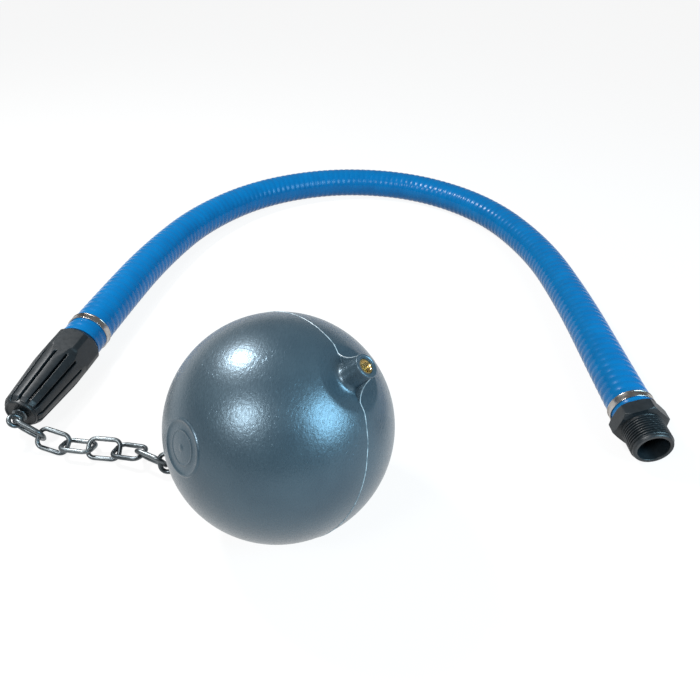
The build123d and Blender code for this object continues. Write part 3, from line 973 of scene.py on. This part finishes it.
angles = [i * FINE_STEP / BALL_R for i in range(FINE_RINGS)]
fine_end = angles[-1]
angles += [fine_end + i * (pi - fine_end) / WIDE_RINGS for i in range(1, WIDE_RINGS + 1)]
held_level = LAND_REACH - LAND_COVER
side = side_of(MEDALLION_AXIS)
other = MEDALLION_AXIS.cross(side)
rings = []
for angle in angles:
    radius = ball_radius(angle * BALL_R)
    ring = []
    for k in range(SKIN_STEPS):
        a = 2 * pi * k / SKIN_STEPS
        out = MEDALLION_AXIS * cos(angle) + (side * cos(a) + other * sin(a)) * max(sin(angle), 1e-5)
        level = abs(out.dot(BALL_AXIS) * radius)
        held = held_level / level if level > held_level else 1.0
        ring.append(BALL + out * radius * held * MM)
    rings.append(ring)
ball = new_object("ball_skin", *loft(rings), sharp=60)
dress(ball, slate, "float", "float_plastic", "float_ball")
print("ball skin faces", len(ball.data.polygons))

# %% [markdown]
# ### Lands and bosses
# Each end of the ball's axis is flattened to a land, and a boss stands on it to hold a brass
# insert.  The upper land lies half a millimetre lower than the other.  Both are round about
# the axis, so a turned profile gives crisp fillets.  The land's points are measured from its
# level, and the boss's points from its top face.


# %% Lands and bosses
def stacked(*stretches):
    # joins stretches of a profile, each a level and points measured from it
    return [(radius, level + above) for level, points in stretches for radius, above in points]


upper_land = stacked(
    (LAND_REACH, [
        (21.6, -1.6), (21.2, -0.95), (20.7, -0.6), (20.0, -0.5), (18.2, -0.45), (16.6, -0.43),
        (13.5, -0.42), (11.6, -0.38), (10.4, -0.2), (9.4, 0.25), (8.6, 1.05), (8.1, 2.2),
        (7.85, 4.0), (7.7, 8.0),
    ]),
    (BOSS_REACH, [
        (7.6, -1.3), (7.65, -0.6), (7.5, -0.2), (7.1, 0.0), (6.6, -0.05), (6.3, -0.35),
        (6.0, -0.5), (5.4, -0.45), (4.95, -0.6), (4.86, -1.0), (4.86, -13.0), (0.0, -13.0),
    ]),
)
lower_land = stacked(
    (LAND_REACH, [
        (21.6, -1.6), (21.2, -0.85), (20.6, -0.42), (19.6, -0.14), (18.2, -0.02), (16.6, 0.0),
        (11.5, -0.05), (9.6, 0.1), (8.6, 0.9), (8.15, 2.2),
    ]),
    (LOW_BOSS_REACH, [
        (7.95, -1.2), (7.7, -0.4), (7.2, -0.05), (5.2, -0.02), (4.95, -0.15), (4.86, -0.5),
        (4.86, -12.0), (0.0, -12.0),
    ]),
)
for name, axis, profile in (
    ("upper_land_and_boss", BALL_AXIS, upper_land),
    ("lower_land_and_boss", -BALL_AXIS, lower_land),
):
    land = turned(name, BALL, axis, profile, steps=160, sharp=50)
    dress(land, slate, "float", "float_plastic", "float_ball")
    print(name, len(land.data.polygons))

# %% [markdown]
# ### The mould's parting plane
# The two halves of the mould met in one plane through the ball's axis.  The seam and the two
# gussets that brace the long boss all lie in it, so they are drawn flat, across and along
# the axis, and placed in the plane afterwards.  A gusset's hollow edge is a curve with two
# ends and one point that it is drawn toward.  The seam's two ends on the round of the ball
# are given as shares of the angle that a land takes up.

# %% Lines in the parting plane
SEAM_TURN = radians(54.4)
GUSSET_TOP = (7.6, BOSS_REACH - 1.3)
GUSSET_PULL = (8.9, LAND_REACH + 3.6)
GUSSET_FOOT = (16.2, LAND_REACH - 0.48)
OVER_THE_LAND = [(17.4, -0.43), (18.6, -0.45), (20.0, -0.5), (21.2, -0.5)]
SEAM_FROM = 1.09
SEAM_TO = 0.99
SEAM_STEPS = 240

ball_level = Vector((-BALL_AXIS.y, BALL_AXIS.x, 0)).normalized()
ball_upright = BALL_AXIS.cross(ball_level)
seam_out = ball_level * cos(SEAM_TURN) + ball_upright * sin(SEAM_TURN)
seam_normal = BALL_AXIS.cross(seam_out)


def hollow_curve(start, end, pull, count):
    points = []
    for i in range(count + 1):
        t = i / count
        x, y = [(1 - t) ** 2 * a + 2 * t * (1 - t) * b + t**2 * c for a, b, c in zip(start, pull, end)]
        points.append((x, y))
    return points


crest = hollow_curve(GUSSET_TOP, GUSSET_FOOT, GUSSET_PULL, 28)
seam_line = crest + stacked((LAND_REACH, OVER_THE_LAND))
land_angle = atan2(LAND_R, LAND_REACH)
for i in range(SEAM_STEPS + 1):
    a = land_angle * SEAM_FROM + (pi - (SEAM_FROM + SEAM_TO) * land_angle) * i / SEAM_STEPS
    seam_line.append((BALL_R * sin(a), BALL_R * cos(a)))
print("points on half the seam", len(seam_line))

# %% [markdown]
# ### Plates and beads
# A gusset is a flat plate, and a bevel modifier eases its edges.  The seam is a small bead
# carried along its line.  Cut flash is never even, so the bead's size and place waver slowly
# with a noise, which is the same on every run.

# %% Plate and bead
BEAD = [(-0.5, -0.2), (-0.27, 0.02), (-0.15, 0.2), (0, 0.28), (0.15, 0.2), (0.27, 0.02), (0.5, -0.2)]


def plate(name, outline, thick, bevel, place):
    # outline in mm on a plane; place turns (x, y, z) in mm into metres
    n = len(outline)
    vertices = [place(x, y, z) for z in (-thick / 2, thick / 2) for x, y in outline]
    faces = [tuple(range(n))[::-1], tuple(range(n, 2 * n))]
    for i in range(n):
        j = (i + 1) % n
        faces.append((i, j, n + j, n + i))
    made = new_object(name, vertices, faces)
    edge = made.modifiers.new("edge", "BEVEL")
    edge.width = bevel * MM
    edge.segments = 3
    edge.limit_method = "ANGLE"
    edge.angle_limit = radians(35)
    return made


def wavering_bead(name, flat_line, number, place):
    vertices, faces = [], []
    n = len(BEAD)
    for i, (x, y) in enumerate(flat_line):
        before, after = flat_line[max(i - 1, 0)], flat_line[min(i + 1, len(flat_line) - 1)]
        dx, dy = after[0] - before[0], after[1] - before[1]
        size = hypot(dx, dy)
        nx, ny = -dy / size, dx / size
        waver = 1 + 0.35 * noise.noise(Vector((x, y, 7 * number)) * 0.35)
        shift = 0.25 * noise.noise(Vector((x, y, 5 * number)) * 0.12)
        for across, rise in BEAD:
            vertices.append(place(x + nx * rise * waver, y + ny * rise * waver, across * waver + shift))
    for i in range(len(flat_line) - 1):
        for k in range(n - 1):
            faces.append((i * n + k, i * n + k + 1, (i + 1) * n + k + 1, (i + 1) * n + k))
    return new_object(name, vertices, faces, sharp=80)


print("points across the bead", len(BEAD))

# %% [markdown]
# ### Gussets and seam
# The parting plane is the same on both sides of the axis, so one loop puts a gusset and half
# of the seam on each.

# %% Gussets and seam
GUSSET_THICK = 1.4
GUSSET_BEVEL = 0.4
GUSSET_IN_BOSS = 5.2
GUSSET_BASE = LAND_REACH - 1.0


def parting_side(way):
    # places (x, y, z) in mm on one side of the axis: across, along it and out of the plane
    def place(x, y, z):
        return BALL + (BALL_AXIS * y + seam_out * way * x + seam_normal * z) * MM

    return place


outline = [(GUSSET_IN_BOSS, GUSSET_BASE), (GUSSET_IN_BOSS, GUSSET_TOP[1])]
outline += crest + [(GUSSET_FOOT[0], GUSSET_BASE)]
for number, way in enumerate((1, -1), start=1):
    place = parting_side(way)
    gusset = plate(f"boss_gusset_{number}", outline, GUSSET_THICK, GUSSET_BEVEL, place)
    dress(gusset, slate, "float", "float_plastic", "float_ball")
    seam = wavering_bead(f"mould_seam_{number}", seam_line, number, place)
    dress(seam, flash, "float", "float_plastic", "float_ball")
    print(gusset.name, len(gusset.data.polygons), seam.name, len(seam.data.polygons))

# %% [markdown]
# ### Brass inserts
# Brass nuts moulded into the bosses take a screw without wearing the plastic.  The upper one
# is open, so its thread shows.  Its bore is a stack of rings whose radius follows a helix,
# with a lead-in where the screw enters.

# %% Brass inserts
INSERT_R = 4.8
INSERT_LENGTH = 12.0
BORE_STEPS = 64
BORE_ROWS = 90


def threaded_bore(name, base, axis, outer, bore, depth, pitch=1.25, cut=0.55):
    side = side_of(axis)
    other = axis.cross(side)
    sleeve = ((outer, -depth), (outer, -0.3), (outer - 0.3, 0.0))
    rows = [[point] * BORE_STEPS for point in sleeve]
    for i in range(BORE_ROWS + 1):
        along = -depth * i / BORE_ROWS
        ease = limited((-along - 0.2) / 0.8)
        lead = 0.45 * max(0.0, 1 + along / 0.7)
        teeth = [abs(2 * ((along / pitch + k / BORE_STEPS) % 1.0) - 1) for k in range(BORE_STEPS)]
        rows.append([(bore + cut * tooth * ease + lead, along) for tooth in teeth])
    rings = []
    for row in rows:
        ring = []
        for k, (radius, along) in enumerate(row):
            a = 2 * pi * k / BORE_STEPS
            ring.append(base + (axis * along + (side * cos(a) + other * sin(a)) * radius) * MM)
        rings.append(ring)
    return new_object(name, *loft(rings, closed_path=True), sharp=40)


top_face = BALL + BALL_AXIS * (BOSS_REACH - 1) * MM
upper_insert = threaded_bore("upper_insert", top_face, BALL_AXIS, INSERT_R, 3.4, INSERT_LENGTH)
dress(upper_insert, brass, "float", "brass", "insert_top")
low_profile = [(INSERT_R, 0.0), (INSERT_R, -INSERT_LENGTH), (2.6, -INSERT_LENGTH), (2.6, -0.6), (3.1, 0.0)]
low_face = BALL - BALL_AXIS * LOW_BOSS_REACH * MM
lower_insert = turned("lower_insert", low_face, -BALL_AXIS, low_profile, steps=64, closed=True)
dress(lower_insert, brass, "float", "brass", "insert_bottom")
print("insert faces", len(upper_insert.data.polygons), len(lower_insert.data.polygons))

# %% [markdown]
# ## Screw eyes
# A screw eye is one piece of bar: a plain shank, a round collar that stops it, and a ring.
# The shank and collar are turned, and the ring is a circle carried round a circle.  A remesh
# would join them but lose their crisp edges, so the two overlap inside the collar instead.

# %% Screw eyes
EYE_RING_R = 4.5
EYE_WIRE_R = 1.7
COLLAR = [
    (5.7, 0.02), (6.0, 0.15), (6.1, 0.45), (6.05, 0.8), (5.75, 1.15), (5.0, 1.45),
    (3.9, 1.65), (3.1, 1.95), (2.3, 2.5), (0.0, 2.9),
]


def screw_eye(name, body, node, base, axis, ring_plane, shank_from, collar_from, ring_at):
    shank_line = [(0.0, shank_from), (2.2, shank_from), (2.5, shank_from + 0.4), (2.5, collar_from)]
    shank = turned(f"{name}_shank", base, axis, shank_line + stacked((collar_from, COLLAR)), steps=72)
    middle = base + axis * ring_at * MM
    circle = []
    for k in range(96):
        a = 2 * pi * k / 96
        circle.append(middle + (axis * cos(a) + ring_plane * sin(a)) * EYE_RING_R * MM)
    rings = carried(circle, steady(EYE_WIRE_R), 32, closed=True)
    ring = new_object(f"{name}_ring", *loft(rings, closed_path=True), sharp=80)
    for piece in (shank, ring):
        dress(piece, wire, body, "chain_steel", node)
    return [shank, ring]


eye_pieces = screw_eye(
    "strainer_eye", "strainer", "eye_bolt", HEAD, HEAD_AXIS,
    HEAD_AXIS.cross(HEAD_CORNER), shank_from=80.0, collar_from=91.1, ring_at=98.2,
)
eye_pieces += screw_eye(
    "float_eye_piece", "float", "float_eye", BALL, -BALL_AXIS,
    ball_upright, shank_from=68.5, collar_from=LOW_BOSS_REACH, ring_at=85.0,
)
print("screw eye pieces", [piece.name for piece in eye_pieces])

# %% [markdown]
# ## Chain
# Each link is a length of round wire bent into a rounded rectangle and welded shut.  The
# line of one link is drawn flat: four bends, and straight runs with a point every half
# millimetre or so, because the wire's thickness changes along them.

# %% Line of a link
LINK_LONG = 24.2
LINK_WIDE = 14.8
LINK_BEND = 5.3


def rounded_rectangle(long, wide, bend, step=0.45, arc_steps=18):
    points = []
    half_long, half_wide = long / 2 - bend, wide / 2 - bend
    corners = [
        (half_long, half_wide, 0),
        (-half_long, half_wide, 90),
        (-half_long, -half_wide, 180),
        (half_long, -half_wide, 270),
    ]
    for index, (x, y, start) in enumerate(corners):
        for k in range(arc_steps + 1):
            a = radians(start + 90 * k / arc_steps)
            points.append((x + bend * cos(a), y + bend * sin(a)))
        here = points[-1]
        next_x, next_y, next_start = corners[(index + 1) % 4]
        a = radians(next_start)
        there = (next_x + bend * cos(a), next_y + bend * sin(a))
        dx, dy = there[0] - here[0], there[1] - here[1]
        count = max(2, int(hypot(dx, dy) / step))
        for k in range(1, count):
            points.append((here[0] + dx * k / count, here[1] + dy * k / count))
    return points


link_line = rounded_rectangle(LINK_LONG, LINK_WIDE, LINK_BEND)
print("points round a link", len(link_line))

# %% [markdown]
# ### Thickness of the wire
# Bending stretches the wire, so a link is a little thinner in its bends than along its
# sides.  The weld leaves a slight swelling in one long side.

# %% Wire of a link
BEND_WIRE_R = 1.74
SIDE_EXTRA = 0.14
SIDE_HALF = 8.6
SIDE_FADE = 3.0
WELD_EXTRA = 0.07
WELD_HALF = 1.1


def wire_radius(i, turn):
    x, y = link_line[i]
    weld = exp(-((x / WELD_HALF) ** 2)) if y > 0 else 0.0
    straight = limited((SIDE_HALF - abs(x)) / SIDE_FADE)
    return BEND_WIRE_R + SIDE_EXTRA * straight * straight * (3 - 2 * straight) + WELD_EXTRA * weld


thickness = [wire_radius(i, 0) for i in range(len(link_line))]
print("wire radius from", round(min(thickness), 2), "to", round(max(thickness), 2))

# %% [markdown]
# ### Hanging the links
# The next link hangs in the far end of each one.  The model has a hinge there, so a link's
# direction is the line from its middle to that hinge, and its lean follows the hinge's axis.

# %% Steel links
LINK_COUNT = 8
hinges = {joint["name"]: joint for joint in record["behaviour"]["joints"]}
for number in range(1, LINK_COUNT + 1):
    low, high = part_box(f"chain_link_{number}")
    middle = (low + high) / 2
    following = hinges[f"link_{number + 1}_swing" if number < LINK_COUNT else "float_swing"]
    along = (Vector(following["pos_m"]) - middle).normalized()
    across = Vector(following["axis"])
    across = (across - along * across.dot(along)).normalized()
    link_path = [middle + (along * x + across * y) * MM for x, y in link_line]
    rings = carried(link_path, wire_radius, 28, closed=True, first_side=along.cross(across))
    link = new_object(f"steel_link_{number}", *loft(rings, closed_path=True), sharp=80)
    dress(link, wire, f"link_{number}", "chain_steel", f"chain_link_{number}")
print("links", LINK_COUNT)

# %% [markdown]
# ## Carried-over pieces
# The hose tail, the valve and its guide, the seals, and the strainer eye's washer and nut
# lie inside the strainer or the hose, where little of them is seen, and their shape is
# already right.  They keep the model's mesh and only get their finish.

# %% Finish the carried-over pieces
CARRIED_OVER = {
    "hose_tail": nylon,
    "stem_guide": nylon,
    "eye_washer": wire,
    "eye_nut": wire,
    "poppet": acetal,
    "head_gasket": rubber,
    "poppet_seal": rubber,
}
for node, finish in CARRIED_OVER.items():
    coat(node, finish)
print("carried over", len(CARRIED_OVER))

# Light Path tells the floor's material whether a camera or a reflection is looking.

# %% Who looks at the floor
OWN_LIGHT = 0.9
BOUNCE_TONE = 0.42
CAMERA_TONE = 0.95

floor_finish = Network("white_table")
path_kind = floor_finish.node("ShaderNodeLightPath").outputs


def floor_math(operation, *values):
    made = floor_finish.node("ShaderNodeMath")
    made.operation = operation
    for value, socket in zip(values, made.inputs):
        floor_finish.link(value, socket)
    return made


seen = floor_math("MAXIMUM", path_kind["Is Camera Ray"], path_kind["Is Transmission Ray"])
looked_at = floor_math("MAXIMUM", seen.outputs[0], path_kind["Is Glossy Ray"])
share = floor_math("MULTIPLY", looked_at.outputs[0])
share.inputs[1].default_value = OWN_LIGHT
tone = floor_finish.node("ShaderNodeMapRange", To_Min=BOUNCE_TONE, To_Max=CAMERA_TONE)
floor_finish.link(path_kind["Is Camera Ray"], tone.inputs["Value"])
print("floor's own light", OWN_LIGHT)

# %% [markdown]
# ### Two floors in one
# A mix shader holds both floors: a plain one that takes shadows, and one that glows at a
# strength of exactly 1, which is white.  The share says how much of the second is seen.

# %% Floor
FLOOR_HALF = 40

plain = floor_finish.shader
fill(plain, Roughness=0.9)
floor_finish.link(tone.outputs["Result"], plain.inputs["Base Color"])
glow = floor_finish.node("ShaderNodeEmission", Color=(1, 1, 1, 1), Strength=1.0)
mixed = floor_finish.node("ShaderNodeMixShader")
floor_finish.link(share.outputs[0], mixed.inputs["Fac"])
floor_finish.link(plain.outputs["BSDF"], mixed.inputs[1])
floor_finish.link(glow.outputs["Emission"], mixed.inputs[2])
output = floor_finish.tree.nodes["Material Output"]
floor_finish.link(mixed.outputs["Shader"], output.inputs["Surface"])
corners = [(x * FLOOR_HALF, y * FLOOR_HALF, 0) for x, y in ((-1, -1), (1, -1), (1, 1), (-1, 1))]
floor = new_object("floor", corners, [(0, 1, 2, 3)])
floor.data.materials.append(floor_finish.material)
print("floor side in metres", 2 * FLOOR_HALF)

# The ball mirrors each of them as a highlight, and a wider lamp makes a wider one, so
# their sizes matter as much as their power. The world adds a plain level all round, so
# that shaded sides keep their colour.

# %% Lamps and world
WORLD_LEVEL = 0.25
LAMP_DISTANCE = 1.05

world = bpy.data.worlds.new("studio")
bpy.context.scene.world = world
world.use_nodes = True
fill(world.node_tree.nodes["Background"], Color=(0.92, 0.97, 1, 1), Strength=WORLD_LEVEL)
bpy.context.scene.view_settings.view_transform = "Standard"


def lamp(name, power, size, toward, color=(1, 1, 1)):
    # a square lamp that stands toward that direction from the ball and faces it
    data = bpy.data.lights.new(name, "AREA")
    data.energy = power
    data.size = size
    data.color = color
    made = bpy.data.objects.new(name, data)
    way = Vector(toward).normalized()
    made.location = BALL + way * LAMP_DISTANCE
    made.rotation_euler = (-way).to_track_quat("-Z", "Y").to_euler()
    bpy.context.scene.collection.objects.link(made)


lamp("left_lamp", 11, 0.15, (-0.57, 0.314, 0.759))
lamp("front_lamp", 6, 0.27, (-0.384, -0.582, 0.717))
lamp("window", 13, 0.54, (0.76, -0.25, 0.58), color=(0.5, 0.82, 1))
print("lamps", len(bpy.data.lights))
